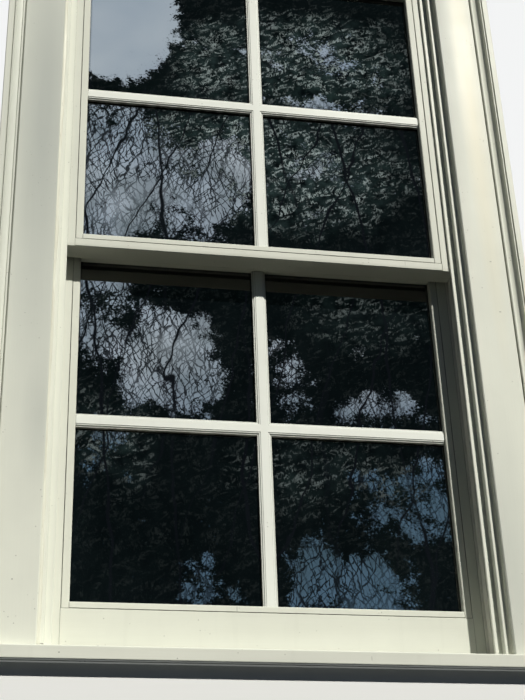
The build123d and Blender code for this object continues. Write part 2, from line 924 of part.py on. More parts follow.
lift_foot = lower_bottom + lift_level
with BuildPart() as sash_lift:
    with BuildSketch(Plane.YZ):
        with BuildLine():
            FilletPolyline(
                (sash_thickness, lift_foot),
                (sash_thickness + lift_wall, lift_foot),
                (sash_thickness + lift_wall, lift_foot + lift_height - lift_wall),
                (sash_thickness + lift_reach - lift_wall, lift_foot + lift_height - lift_wall),
                (sash_thickness + lift_reach - lift_wall, lift_foot + lift_height - lift_lip),
                (sash_thickness + lift_reach, lift_foot + lift_height - lift_lip),
                (sash_thickness + lift_reach, lift_foot + lift_height),
                (sash_thickness, lift_foot + lift_height),
                radius=lift_round,
                close=True,
            )
        make_face()
    extrude(amount=lift_length / 2, both=True)
save(sash_lift, "sash_lift")
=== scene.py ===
import json
import math
import random

import bmesh
import bpy
from mathutils import Matrix, Vector


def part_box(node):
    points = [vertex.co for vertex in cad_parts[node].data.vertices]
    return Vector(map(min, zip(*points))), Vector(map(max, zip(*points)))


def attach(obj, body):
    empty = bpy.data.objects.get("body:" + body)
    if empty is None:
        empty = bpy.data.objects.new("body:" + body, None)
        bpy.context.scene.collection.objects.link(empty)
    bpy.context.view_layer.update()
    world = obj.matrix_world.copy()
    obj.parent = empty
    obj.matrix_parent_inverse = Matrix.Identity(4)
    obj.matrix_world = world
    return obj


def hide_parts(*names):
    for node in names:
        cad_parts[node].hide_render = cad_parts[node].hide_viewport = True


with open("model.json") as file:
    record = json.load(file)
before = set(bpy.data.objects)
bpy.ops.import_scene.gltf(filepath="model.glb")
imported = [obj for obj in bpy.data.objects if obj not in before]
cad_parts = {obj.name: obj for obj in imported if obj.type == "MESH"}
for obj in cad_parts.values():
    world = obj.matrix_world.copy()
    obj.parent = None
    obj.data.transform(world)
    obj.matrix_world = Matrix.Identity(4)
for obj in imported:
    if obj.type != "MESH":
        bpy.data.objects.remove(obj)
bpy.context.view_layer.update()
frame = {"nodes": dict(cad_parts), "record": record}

# Looks of a painted double-hung window, in metres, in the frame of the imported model.
# X runs to the right seen from the street, Y runs into the room and Z runs up.

NODES = frame["nodes"]
MM = 0.001

# Sizes of the CAD parts that a piece's box doesn't give
NOSE_HEIGHT = 19 * MM
LOCK_PLATE = 2.6 * MM
LOCK_HOLE_INSET = 6 * MM
KEEPER_WALL = 2 * MM
KEEPER_HOLE_LEFT = 6 * MM
KEEPER_HOLE_RIGHT = 10 * MM
LIFT_WALL = 3 * MM
LIFT_HOLE_X = 14 * MM
LIFT_HOLE_RISE = 9 * MM

# Camera
CAMERA_PLACE = (-0.380, -1.917, -0.5543)
CAMERA_RIGHT = Vector((0.98375, -0.17633, -0.03384))
CAMERA_UP = Vector((-0.05684, -0.48464, 0.87287))
CAMERA_FORWARD = Vector((0.17031, 0.85676, 0.48679))
CAMERA_LENS = 72.21
SENSOR = 36.0

# Light
SUN_TOWARDS = Vector((-0.51, 1.0, -1.11))
SUN_STRENGTH = 4.1
SUN_COLOUR = (1.0, 0.975, 0.90)
SUN_SOFTNESS = math.radians(1.2)
FILL_FRONT = (0.052, 0.066, 0.086, 1.0)
FILL_BELOW = (0.006, 0.007, 0.007, 1.0)
FILL_ROOM = (0.52, 0.54, 0.56, 1.0)
PALE = (0.90, 0.91, 0.91, 1.0)
FLOOR = (0.60, 0.605, 0.61, 1.0)
FLOOR_STEP_Y = -0.070
FLOOR_DROP = 1.25
FLOOR_REACH = 9.0
STAGE_ROUGHNESS = 0.9

# Card that the glass mirrors: its place, its scale on the glass and its tones
CARD_Y = -7.0
CARD_HALF = 30.0
CARD_FOOT = -FLOOR_DROP
CARD_TOP = 24.0
CARD_SCALE = 4.652
CARD_SHIFT_X = 1.388
CARD_SHIFT_Z = 2.023
OPEN_HIGH = (1.55, 1.95, 2.40, 1.0)
OPEN_LOW = (0.44, 0.78, 1.12, 1.0)
OPEN_PALE = (2.5, 2.85, 3.10, 1.0)
MASS_DARK = (0.005, 0.012, 0.013, 1.0)
MASS_MID = (0.17, 0.30, 0.285, 1.0)
MASS_LIT = (2.10, 2.50, 2.40, 1.0)
STRAND = (0.02, 0.025, 0.035, 1.0)

# Open and lit patches of the card as they land on the glass: x, z, two radii and strength
OPEN_AREAS = (
    (-0.250, 1.180, 0.150, 0.140, 1.00),
    (-0.270, 0.840, 0.190, 0.210, 0.74),
    (-0.120, 0.820, 0.150, 0.130, 0.66),
    (-0.040, 0.880, 0.110, 0.080, 0.60),
    (-0.150, 0.515, 0.120, 0.120, 0.80),
    (-0.260, 0.600, 0.110, 0.160, 0.58),
    (-0.260, 0.350, 0.070, 0.090, 0.50),
    (-0.095, 0.150, 0.060, 0.055, 0.56),
    (0.110, 0.140, 0.130, 0.110, 0.66),
    (0.215, 0.285, 0.130, 0.090, 0.60),
    (0.040, 0.480, 0.080, 0.100, 0.50),
    (0.180, 0.440, 0.150, 0.055, 0.50),
    (0.080, 0.900, 0.190, 0.110, 0.42),
    (0.120, 1.030, 0.170, 0.045, 0.52),
    (0.120, 1.150, 0.210, 0.110, 0.38),
)
LIT_AREAS = (
    (0.070, 0.890, 0.190, 0.120, 1.0),
    (0.110, 1.130, 0.190, 0.110, 0.8),
    (-0.060, 1.110, 0.080, 0.100, 0.7),
    (-0.060, 0.950, 0.120, 0.060, 0.9),
    (0.100, 0.330, 0.150, 0.070, 0.25),
    (-0.240, 0.370, 0.070, 0.080, 0.35),
    (0.180, 0.600, 0.120, 0.060, 0.2),
)

# Paint and other finishes
PAINT_TRIM = (0.815, 0.832, 0.738, 1.0)
PAINT_SASH = (0.745, 0.760, 0.675, 1.0)
PAINT_SILL = (0.785, 0.800, 0.712, 1.0)
PAINT_BAR = (0.880, 0.905, 0.845, 1.0)
PAINT_SHADE = 0.90
PAINT_SPECULAR = 0.10
# Dark colour of dirt, also used for painted shade and shadow in joints, under the meeting rail and at the
# feet of the bars
GRIME_AND_SHADE = (0.085, 0.083, 0.060, 1.0)
PRIMER = (0.62, 0.61, 0.56, 1.0)
PRIMER_GRAIN = (0.54, 0.49, 0.41, 1.0)
FILLER_PALE = (0.82, 0.83, 0.72, 1.0)
FILLER_DULL = (0.68, 0.67, 0.56, 1.0)
FILLER_STAIN = (0.34, 0.31, 0.22, 1.0)
VINYL = (0.76, 0.76, 0.69, 1.0)
VINYL_DULL = (0.68, 0.67, 0.60, 1.0)
GLASS_IOR = 2.2
GLASS_CLEAN = (0.001, 0.0015, 0.002, 1.0)
GLASS_DUSTY = (0.004, 0.006, 0.007, 1.0)
GLASS_DROP = (0.5, 0.5, 0.46, 1.0)
# Dark colour of dirt and painted shade in the metal's crevices
METAL_GRIME_AND_SHADE = (0.05, 0.05, 0.045, 1.0)
SPACER = (0.52, 0.53, 0.53, 1.0)
SPACER_DULL = (0.40, 0.41, 0.41, 1.0)
ZINC = (0.58, 0.58, 0.57, 1.0)
ZINC_DULL = (0.44, 0.44, 0.44, 1.0)
NICKEL = (0.60, 0.57, 0.52, 1.0)
NICKEL_DULL = (0.48, 0.46, 0.42, 1.0)
SCREW_STEEL = (0.60, 0.60, 0.59, 1.0)
SCREW_DULL = (0.45, 0.45, 0.44, 1.0)
RUBBER = (0.020, 0.020, 0.020, 1.0)
RUBBER_DUST = (0.075, 0.072, 0.066, 1.0)


# Node helpers

def new_material(name):
    """An empty node material with its output node."""
    material = bpy.data.materials.new(name)
    material.use_nodes = True
    tree = material.node_tree
    tree.nodes.clear()
    return material, tree


def add(tree, kind, inputs=None, **settings):
    """Add a node. inputs gives each socket a value or the output that feeds it."""
    made = tree.nodes.new(kind)
    for key, value in settings.items():
        setattr(made, key, value)
    for key, value in (inputs or {}).items():
        if isinstance(value, bpy.types.NodeSocket):
            tree.links.new(value, made.inputs[key])
        else:
            made.inputs[key].default_value = value
    return made


def math_node(tree, operation, a, b=0.0):
    """One Math node's result."""
    return add(tree, "ShaderNodeMath", {0: a, 1: b}, operation=operation).outputs[0]


def times(tree, a, b):
    """The product of two values."""
    return math_node(tree, "MULTIPLY", a, b)


def ramp(tree, value, low, high, to_low=0.0, to_high=1.0):
    """value mapped from low..high to to_low..to_high, clamped."""
    made = add(tree, "ShaderNodeMapRange", {0: value, 1: low, 2: high, 3: to_low, 4: to_high})
    return made.outputs[0]


def mix_colour(tree, factor, a, b):
    """Colour a where factor is 0 and b where it is 1."""
    made = add(tree, "ShaderNodeMix", {0: factor, 6: a, 7: b}, data_type="RGBA")
    return made.outputs[2]


def object_place(tree):
    """The surface point in the object's own coordinates, in metres."""
    return add(tree, "ShaderNodeTexCoord").outputs["Object"]


def stretched(tree, place, scale):
    """Coordinates scaled differently along X, Y and Z."""
    return add(tree, "ShaderNodeMapping", {0: place, 3: scale}).outputs[0]


def noise(tree, place, scale, detail=2.0, roughness=0.5, distortion=0.0):
    """Noise between 0 and 1."""
    inputs = {"Vector": place, "Scale": scale, "Detail": detail, "Roughness": roughness,
              "Distortion": distortion}
    return add(tree, "ShaderNodeTexNoise", inputs).outputs[0]


def bump(tree, height, distance, normal=None, strength=1.0):
    """Surface relief of the given height in metres."""
    inputs = {"Height": height, "Distance": distance, "Strength": strength}
    if normal is not None:
        inputs["Normal"] = normal
    return add(tree, "ShaderNodeBump", inputs).outputs[0]


def finish(material, kind, inputs):
    """End the material's tree with one shader of a kind and return the material."""
    tree = material.node_tree
    shader = add(tree, kind, inputs)
    add(tree, "ShaderNodeOutputMaterial", {"Surface": shader.outputs[0]})
    return material


def strongest(tree, values):
    """The largest of several values."""
    total = values[0]
    for value in values[1:]:
        total = math_node(tree, "MAXIMUM", total, value)
    return total


# Finishes

def crevice(tree, reach):
    """1 deep in a joint or corner, 0 on open surfaces."""
    made = add(tree, "ShaderNodeAmbientOcclusion", {"Distance": reach}, samples=6)
    return math_node(tree, "SUBTRACT", 1.0, made.outputs["AO"])


def along(axis, fine, coarse):
    """Mapping scale that is coarse along the grain axis and fine across it."""
    return (coarse, fine, fine) if axis == "X" else (fine, fine, coarse)


def hidden_side(tree):
    """1 on the faces that lie against the wall: the casing's back and the frame's outer faces."""
    place = add(tree, "ShaderNodeSeparateXYZ", {0: object_place(tree)})
    geometry = add(tree, "ShaderNodeNewGeometry")
    normal = add(tree, "ShaderNodeSeparateXYZ", {0: geometry.outputs["True Normal"]})
    side = math_node(tree, "ABSOLUTE", place.outputs[0])
    outward = math_node(tree, "ABSOLUTE", normal.outputs[0])
    jamb_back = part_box("jamb_right")[1].x
    frame_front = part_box("jamb_right")[0].y
    head_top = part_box("head_jamb")[1].z
    slack = 0.5 * MM
    back = math_node(tree, "GREATER_THAN", normal.outputs[1], 0.5)
    front_zone = math_node(tree, "LESS_THAN", place.outputs[1], frame_front + slack)
    casing_back = times(tree, back, front_zone)
    outer = math_node(tree, "GREATER_THAN", side, jamb_back - slack)
    behind = math_node(tree, "GREATER_THAN", place.outputs[1], frame_front + slack)
    facing = math_node(tree, "GREATER_THAN", outward, 0.5)
    jamb_side = times(tree, times(tree, outer, facing), behind)
    high = math_node(tree, "GREATER_THAN", place.outputs[2], head_top - slack)
    top = times(tree, high, behind)
    return math_node(tree, "MAXIMUM", math_node(tree, "MAXIMUM", casing_back, jamb_side), top)


def mark(tree, place, centre, radii, core=0.7):
    """1 inside an ellipsoid round a point, fading out from its core to its skin."""
    local = add(tree, "ShaderNodeMapping", {0: place, 1: centre, 3: radii}, vector_type="TEXTURE").outputs[0]
    away = add(tree, "ShaderNodeVectorMath", {0: local}, operation="LENGTH").outputs["Value"]
    return ramp(tree, away, core, 1.0, 1.0, 0.0)


def seam(tree, place, low, high):
    """1 inside a box between two corners, fading out at its faces."""
    low, high = Vector(low), Vector(high)
    local = add(tree, "ShaderNodeMapping", {0: place, 1: (low + high) / 2, 3: (high - low) / 2},
                vector_type="TEXTURE").outputs[0]
    away = add(tree, "ShaderNodeVectorMath", {0: local}, operation="ABSOLUTE").outputs[0]
    parts = add(tree, "ShaderNodeSeparateXYZ", {0: away}).outputs
    return ramp(tree, strongest(tree, parts), 0.5, 1.0, 1.0, 0.0)


def painted(name, axis, colour, gloss=0.40, wear=1.0, joint_dirt_and_shade=0.85, primed=False, marks=(), shade_and_glow=(),
            sheens=(), seams=(), reach=3.5 * MM, onset=0.30):
    """Satin paint brushed along one axis, with faint mottling, specks, stains, and grime and painted shade in
    the joints.

    The joint strength sets how strongly the joints darken with grime and painted shade, reach how far it
    spreads from them and onset how deep it starts.
    """
    shade = [value * PAINT_SHADE for value in colour[:3]] + [1.0]
    material, tree = new_material(name)
    place = object_place(tree)
    mottle = noise(tree, place, 4.0, 4.0, 0.6)
    blotch = noise(tree, place, 26.0, 3.0, 0.6)
    strokes = noise(tree, stretched(tree, place, along(axis, 700.0, 9.0)), 1.0, 3.0, 0.6)
    runs = noise(tree, stretched(tree, place, (45.0, 45.0, 2.0)), 1.0, 4.0, 0.6)
    tone = mix_colour(tree, ramp(tree, mottle, 0.38, 0.68, 0.0, 0.7), colour, shade)
    tone = mix_colour(tree, ramp(tree, blotch, 0.50, 0.78, 0.0, 0.16 * wear), tone, shade)
    tone = mix_colour(tree, ramp(tree, strokes, 0.35, 0.75, 0.0, 0.22), tone, shade)
    tone = mix_colour(tree, ramp(tree, runs, 0.58, 0.85, 0.0, 0.07 * wear), tone, GRIME_AND_SHADE)

    grit = add(tree, "ShaderNodeTexVoronoi", {"Vector": place, "Scale": 150.0})
    rare = ramp(tree, noise(tree, place, 35.0, 2.0), 0.60, 0.64)
    speck = times(tree, ramp(tree, grit.outputs["Distance"], 0.08, 0.16, 1.0, 0.0), rare)
    tone = mix_colour(tree, times(tree, speck, 0.5 * wear), tone, GRIME_AND_SHADE)

    # Painted shadow and painted glow: soft patches mixed towards their colours
    for centre, radii, strength, painted_tone in shade_and_glow:
        patch = mark(tree, place, centre, radii, core=0.1)
        tone = mix_colour(tree, times(tree, patch, strength), tone, painted_tone)

    # Grime and painted shade in joints and corners, darker where the surface is hidden
    joint = ramp(tree, crevice(tree, reach), onset, onset + 0.32, 0.0, joint_dirt_and_shade)
    # Grime with painted shadow along the bead joints, and painted shade at the feet of the bars
    if seams:
        lines = strongest(tree, [seam(tree, place, low, high) for low, high in seams])
        uneven = ramp(tree, noise(tree, place, 60.0, 3.0), 0.35, 0.60, 0.55, 0.90)
        joint = math_node(tree, "MAXIMUM", joint, times(tree, lines, uneven))
    tone = mix_colour(tree, joint, tone, GRIME_AND_SHADE)
    for centre, radii, strength in marks:
        spot = mark(tree, place, centre, radii)
        tone = mix_colour(tree, times(tree, spot, strength), tone, GRIME_AND_SHADE)

    edge = add(tree, "ShaderNodeBevel", {"Radius": 0.35 * MM}, samples=4).outputs[0]
    waves = noise(tree, stretched(tree, place, along(axis, 22.0, 4.0)), 1.0, 1.0)
    peel = noise(tree, place, 500.0, 2.0)
    normal = bump(tree, waves, 1.6 * MM, edge, 0.8)
    normal = bump(tree, strokes, 0.07 * MM, normal, 0.6)
    normal = bump(tree, peel, 0.04 * MM, normal, 0.5)
    normal = bump(tree, speck, 0.2 * MM, normal, 0.6)

    roughness = ramp(tree, mottle, 0.3, 0.7, gloss - 0.06, gloss + 0.08)
    if primed:
        mask = hidden_side(tree)
        rings = noise(tree, stretched(tree, place, along(axis, 150.0, 3.0)), 1.0, 6.0, 0.7, 1.5)
        lap = ramp(tree, noise(tree, place, 12.0, 3.0), 0.35, 0.65, 0.15, 0.85)
        grain = times(tree, ramp(tree, rings, 0.42, 0.62), lap)
        primer = mix_colour(tree, grain, PRIMER, PRIMER_GRAIN)
        tone = mix_colour(tree, mask, tone, primer)
        roughness = math_node(tree, "ADD", roughness, times(tree, mask, 0.3))
    for centre, radii, strength in sheens:
        patch = mark(tree, place, centre, radii, core=0.0)
        roughness = math_node(tree, "SUBTRACT", roughness, times(tree, patch, strength))
    inputs = {"Base Color": tone, "Roughness": roughness, "Normal": normal,
              "Specular IOR Level": PAINT_SPECULAR}
    return finish(material, "ShaderNodeBsdfPrincipled", inputs)


def caulk(name):
    """Soft filler with paint dragged over it, and grime and painted shade along its thin edge."""
    material, tree = new_material(name)
    place = object_place(tree)
    lumps = noise(tree, stretched(tree, place, (160.0, 160.0, 50.0)), 1.0, 4.0, 0.65)
    smear = noise(tree, stretched(tree, place, (300.0, 300.0, 14.0)), 1.0, 3.0, 0.6)
    tone = mix_colour(tree, ramp(tree, smear, 0.35, 0.7), FILLER_PALE, FILLER_DULL)
    tone = mix_colour(tree, ramp(tree, lumps, 0.60, 0.74, 0.0, 0.25), tone, FILLER_STAIN)
    # Grime and painted shade in the corners along the filler's edge
    joint = ramp(tree, crevice(tree, 3 * MM), 0.55, 0.95, 0.0, 0.8)
    tone = mix_colour(tree, joint, tone, GRIME_AND_SHADE)
    normal = bump(tree, lumps, 0.5 * MM, None, 0.7)
    inputs = {"Base Color": tone, "Roughness": 0.5, "Normal": normal}
    return finish(material, "ShaderNodeBsdfPrincipled", inputs)


def vinyl(name):
    """Extruded off-white plastic with faint lines along its length."""
    material, tree = new_material(name)
    place = object_place(tree)
    lines = noise(tree, stretched(tree, place, (1500.0, 1500.0, 3.0)), 1.0, 2.0)
    mottle = noise(tree, place, 9.0, 3.0)
    tone = mix_colour(tree, ramp(tree, mottle, 0.35, 0.7, 0.0, 0.5), VINYL, VINYL_DULL)
    # Grime and painted shade in the liner's corners
    joint = ramp(tree, crevice(tree, 6 * MM), 0.45, 0.95, 0.0, 0.6)
    tone = mix_colour(tree, joint, tone, GRIME_AND_SHADE)
    normal = bump(tree, lines, 0.04 * MM, None, 0.6)
    roughness = ramp(tree, lines, 0.3, 0.7, 0.42, 0.55)
    inputs = {"Base Color": tone, "Roughness": roughness, "Normal": normal}
    return finish(material, "ShaderNodeBsdfPrincipled", inputs)


def glazing(name):
    """Dark clean glass with a faint film of dust and dried drops; it reflects less next to the beads, a dull
    black edge that is painted shade.
    """
    material, tree = new_material(name)
    place = object_place(tree)
    film = noise(tree, stretched(tree, place, (9.0, 9.0, 4.0)), 1.0, 5.0, 0.62)
    drops = add(tree, "ShaderNodeTexVoronoi", {"Vector": place, "Scale": 90.0})
    ring = ramp(tree, drops.outputs["Distance"], 0.05, 0.12, 1.0, 0.0)
    rare = ramp(tree, noise(tree, place, 18.0, 2.0), 0.60, 0.70)
    spot = times(tree, ring, rare)
    tone = mix_colour(tree, ramp(tree, film, 0.35, 0.75), GLASS_CLEAN, GLASS_DUSTY)
    tone = mix_colour(tree, times(tree, spot, 0.02), tone, GLASS_DROP)
    waves = noise(tree, place, 4.0, 1.0)
    normal = bump(tree, waves, 0.25 * MM, None, 0.5)
    # Painted shade: the glass reflects less close to the beads
    level = ramp(tree, crevice(tree, 6 * MM), 0.18, 0.42, 0.5, 0.06)
    inputs = {"Base Color": tone, "Roughness": 0.0, "Normal": normal, "IOR": GLASS_IOR,
              "Specular IOR Level": level}
    return finish(material, "ShaderNodeBsdfPrincipled", inputs)


def metal(name, colour, dull, roughness, grain=(900.0, 60.0, 900.0), twist=False):
    """Plated metal with fine brushing, handling marks and, on the rods, a spiral groove."""
    material, tree = new_material(name)
    place = object_place(tree)
    brushing = noise(tree, stretched(tree, place, grain), 1.0, 3.0)
    marks = noise(tree, place, 70.0, 4.0, 0.65)
    tone = mix_colour(tree, ramp(tree, marks, 0.35, 0.7), colour, dull)
    # Grime and painted shade in the crevices
    tone = mix_colour(tree, ramp(tree, crevice(tree, 3 * MM), 0.5, 1.0, 0.0, 0.6), tone, METAL_GRIME_AND_SHADE)
    gloss = ramp(tree, marks, 0.3, 0.75, roughness - 0.07, roughness + 0.12)
    edge = add(tree, "ShaderNodeBevel", {"Radius": 0.4 * MM}, samples=4).outputs[0]
    normal = bump(tree, brushing, 0.03 * MM, edge, 0.5)
    if twist:
        groove = add(tree, "ShaderNodeTexWave", {"Vector": place, "Scale": 22.0}, bands_direction="DIAGONAL")
        normal = bump(tree, groove.outputs[1], 0.6 * MM, normal, 0.6)
    inputs = {"Base Color": tone, "Metallic": 1.0, "Roughness": gloss, "Normal": normal}
    return finish(material, "ShaderNodeBsdfPrincipled", inputs)


def rubber(name):
    """Dark weather strip with a dusty bloom and fine ridges."""
    material, tree = new_material(name)
    place = object_place(tree)
    dust = noise(tree, place, 160.0, 4.0, 0.7)
    tone = mix_colour(tree, ramp(tree, dust, 0.4, 0.8), RUBBER, RUBBER_DUST)
    ridges = noise(tree, stretched(tree, place, (10.0, 1800.0, 1800.0)), 1.0, 1.0)
    normal = bump(tree, ridges, 0.1 * MM, None, 0.7)
    inputs = {"Base Color": tone, "Normal": normal, "Roughness": 0.72}
    return finish(material, "ShaderNodeBsdfPrincipled", inputs)


# What each node is finished with. Marks, tints and sheens are ellipsoids: a centre, three radii and a
# strength. A mark adds dirt, a tint mixes in the colour that follows it, which paints in shadow and glow, and
# a sheen takes roughness away.

TRIM_MARKS = (
    ((0.3765, -0.069, 0.6880), (0.0020, 0.002, 0.0012), 0.45),
    ((0.3560, -0.069, 0.6360), (0.0012, 0.002, 0.0012), 0.35),
    ((0.3815, -0.069, 0.5920), (0.0024, 0.002, 0.0011), 0.50),
    ((-0.3722, -0.069, 0.1153), (0.0014, 0.002, 0.0014), 0.45),
)
SILL_MARKS = (
    ((0.1198, -0.088, 0.0090), (0.0004, 0.003, 0.0040), 0.60),
    ((-0.3060, -0.088, 0.0090), (0.0014, 0.003, 0.0012), 0.50),
    ((-0.2550, -0.086, 0.0190), (0.0018, 0.003, 0.0010), 0.50),
)
SASH_MARKS = (
    ((-0.0509, 0.0006, 0.1052), (0.0006, 0.003, 0.0052), 0.45),
    ((0.2393, -0.0388, 0.6940), (0.0005, 0.003, 0.0062), 0.40),
    ((-0.0014, 0.0005, 0.2204), (0.0011, 0.003, 0.0011), 0.55),
)
TRACK_MARKS = (
    ((-0.3275, -0.056, 0.0300), (0.0042, 0.003, 0.0009), 0.75),
)

# Painted light on the trim: the cool grey patches are painted shadow on the casings, the warm one a painted
# glow on the right casing's outer part
SHADOW_GREY = (0.40, 0.43, 0.41, 1.0)
GLOW_WARM = (0.86, 0.80, 0.60, 1.0)
TRIM_SHADE_AND_GLOW = (
    ((-0.362, -0.07, 0.92), (0.080, 0.2, 0.75), 0.72, SHADOW_GREY),
    ((-0.345, -0.07, 0.36), (0.030, 0.2, 0.12), 0.30, SHADOW_GREY),
    ((0.325, -0.07, 1.20), (0.042, 0.2, 0.60), 0.62, SHADOW_GREY),
    ((0.379, -0.07, 1.05), (0.024, 0.2, 0.60), 0.60, GLOW_WARM),
    ((0.345, -0.07, 0.16), (0.060, 0.2, 0.30), 0.35, SHADOW_GREY),
)
TRIM_SHEENS = (
    ((0.376, -0.07, 1.10), (0.026, 0.2, 0.50), 0.10),
)
# Painted shade under the upper sash's meeting rail
SASH_PAINTED_SHADE = (
    ((0.0, -0.020, 0.6840), (0.60, 0.05, 0.0075), 0.28, GRIME_AND_SHADE),
)

# Dark lines, of grime with painted shadow along the bead joints and of painted shade at the feet of the bars:
# half the width of a seam, how far it starts in front of the beads, how far the shade reaches up the bars
# from the glass, and half the span of its box along the glass
SEAM_HALF = 0.9 * MM
SEAM_FRONT = 3 * MM
BAR_SHADE_RISE = 6.5 * MM
BAR_SHADE_SPAN = 0.6
SASHES = ("lower", "upper")


def bead_seams():
    """Boxes round the joints between the glazing beads and the sashes, where grime and painted shadow darken
    the paint.
    """
    boxes = []
    for sash in SASHES:
        left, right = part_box(f"{sash}_bead_left"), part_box(f"{sash}_bead_right")
        bottom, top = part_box(f"{sash}_bead_bottom"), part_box(f"{sash}_bead_top")
        near_y, far_y = left[0].y - SEAM_FRONT, left[1].y
        for x in (left[0].x, right[1].x):
            boxes.append(((x - SEAM_HALF, near_y, bottom[0].z), (x + SEAM_HALF, far_y, top[1].z)))
        for z in (bottom[0].z, top[1].z):
            boxes.append(((left[0].x, near_y, z - SEAM_HALF), (right[1].x, far_y, z + SEAM_HALF)))
    return boxes


def bar_foot_shade():
    """Boxes round the glass's outer face in both sashes, where painted shade darkens the foot of the bars."""
    boxes = []
    for sash in SASHES:
        low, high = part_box(f"{sash}_bar_upright")
        middle = (low.z + high.z) / 2
        boxes.append(((-BAR_SHADE_SPAN, high.y - BAR_SHADE_RISE, middle - BAR_SHADE_SPAN),
                      (BAR_SHADE_SPAN, high.y + BAR_SHADE_RISE, middle + BAR_SHADE_SPAN)))
    return boxes


LEVEL_WORDS = ("head", "rail", "bead_top", "bead_bottom", "bar_left", "bar_right", "sill")


def runs_level(name):
    """Whether the piece's grain runs along X."""
    return any(word in name for word in LEVEL_WORDS)


def dress():
    """Give every node of the model its material."""
    finishes = {}
    # Every paint darkens its joints with grime and painted shade; the trim also has painted shadow and glow,
    # the sash paint painted shade under the meeting rail, and the bar paint painted shade at the feet and
    # steps of the bars
    for axis in ("X", "Z"):
        finishes["painted_trim", axis] = painted(
            f"trim_paint_{axis}", axis, PAINT_TRIM, joint_dirt_and_shade=0.25, primed=True, marks=TRIM_MARKS,
            shade_and_glow=TRIM_SHADE_AND_GLOW, sheens=TRIM_SHEENS)
        finishes["painted_sill", axis] = painted(
            f"sill_paint_{axis}", axis, PAINT_SILL, wear=1.2, primed=True, marks=SILL_MARKS)
        finishes["painted_sash", axis] = painted(
            f"sash_paint_{axis}", axis, PAINT_SASH, marks=SASH_MARKS, shade_and_glow=SASH_PAINTED_SHADE, seams=bead_seams(),
            reach=2.5 * MM)
        finishes["painted_bar", axis] = painted(
            f"bar_paint_{axis}", axis, PAINT_BAR, wear=1.1, seams=bar_foot_shade(), reach=2.2 * MM, onset=0.14)
        finishes["painted_track", axis] = painted(
            f"track_paint_{axis}", axis, PAINT_TRIM, gloss=0.36, joint_dirt_and_shade=0.45, marks=TRACK_MARKS)
    shared = {
        "liner": vinyl("liner_vinyl"),
        "glass": glazing("window_glass"),
        "spacer_bar": metal("spacer_aluminium", SPACER, SPACER_DULL, 0.35),
        "balance_steel": metal("zinc_steel", ZINC, ZINC_DULL, 0.42, twist=True),
        "seal": rubber("seal_rubber"),
        "hardware": metal("satin_nickel", NICKEL, NICKEL_DULL, 0.30),
    }
    for part in frame["record"]["subparts"]:
        name, slot = part["node"], part["material_slot"]
        axis = "X" if runs_level(name) else "Z"
        if "_bar_" in name:
            slot = "painted_bar"
        material = shared.get(slot) or finishes[slot, axis]
        node = NODES[name]
        node.data.materials.clear()
        node.data.materials.append(material)
    return finishes


# Small pieces

def new_piece(name, mesh, material, body):
    """A new object for a mesh, finished and riding on a body."""
    piece = bpy.data.objects.new(name, mesh)
    bpy.context.scene.collection.objects.link(piece)
    mesh.materials.append(material)
    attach(piece, body)
    return piece


def skin(made, rows):
    """Loops of vertices through rows of matching points, with quads from each loop to the next."""
    loops = [[made.verts.new(point) for point in row] for row in rows]
    for near, far in zip(loops, loops[1:]):
        for i in range(len(near)):
            j = (i + 1) % len(near)
            made.faces.new((near[i], near[j], far[j], far[i]))
    return loops


def written(made, name):
    """The finished mesh of a bmesh."""
    mesh = bpy.data.meshes.new(name)
    made.to_mesh(mesh)
    made.free()
    return mesh


def round_solid(name, rows):
    """Closed mesh through rows of points, smooth along its length and flat at its two ends."""
    made = bmesh.new()
    loops = skin(made, rows)
    made.faces.new(list(reversed(loops[0])))
    made.faces.new(loops[-1])
    bmesh.ops.recalc_face_normals(made, faces=made.faces)
    for face in made.faces:
        face.smooth = len(face.verts) == 4
    return written(made, name)


# Stepped section of a glazing bar, from the glass up: half width and height above the glass, in mm
BAR_STEPS = (
    (11.1, 0.0),
    (11.1, 5.4),
    (10.9, 5.6),
    (8.6, 5.7),
    (8.5, 7.0),
    (8.3, 7.2),
    (6.1, 7.4),
    (6.0, 8.1),
)


def stepped_bar(name, rows):
    """Bar between two rows of points, closed at both ends by strips that follow the steps."""
    made = bmesh.new()
    count = len(rows[0])
    for end in skin(made, rows):
        for i in range(count // 2 - 1):
            made.faces.new((end[i], end[i + 1], end[count - 2 - i], end[count - 1 - i]))
    bmesh.ops.recalc_face_normals(made, faces=made.faces)
    return written(made, name)


def glazing_bars(finishes):
    """Shallow stepped bars on the street side of both sashes; the level ones are coped to the upright."""
    steps = [(half * MM, rise * MM) for half, rise in BAR_STEPS]
    outline = steps + [(-half, rise) for half, rise in reversed(steps)]
    for sash in SASHES:
        low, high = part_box(f"{sash}_bar_upright")
        level_low, level_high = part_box(f"{sash}_bar_right")
        glass_y = high.y
        level_z = (level_low.z + level_high.z) / 2
        bars = {"upright": [[(side, glass_y - rise, z) for side, rise in outline] for z in (low.z, high.z)]}
        for word, sign in (("left", -1), ("right", 1)):
            reach = sign * level_high.x
            coped = [(sign * abs(side), glass_y - rise, level_z + side) for side, rise in outline]
            square = [(reach, glass_y - rise, level_z + side) for side, rise in outline]
            bars[word] = [coped, square]
        for word, rows in bars.items():
            name = f"{sash}_stepped_bar_{word}"
            material = finishes["painted_bar", "Z" if word == "upright" else "X"]
            piece = new_piece(name, stepped_bar(name, rows), material, f"{sash}_sash")
            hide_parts(f"{sash}_bar_{word}")


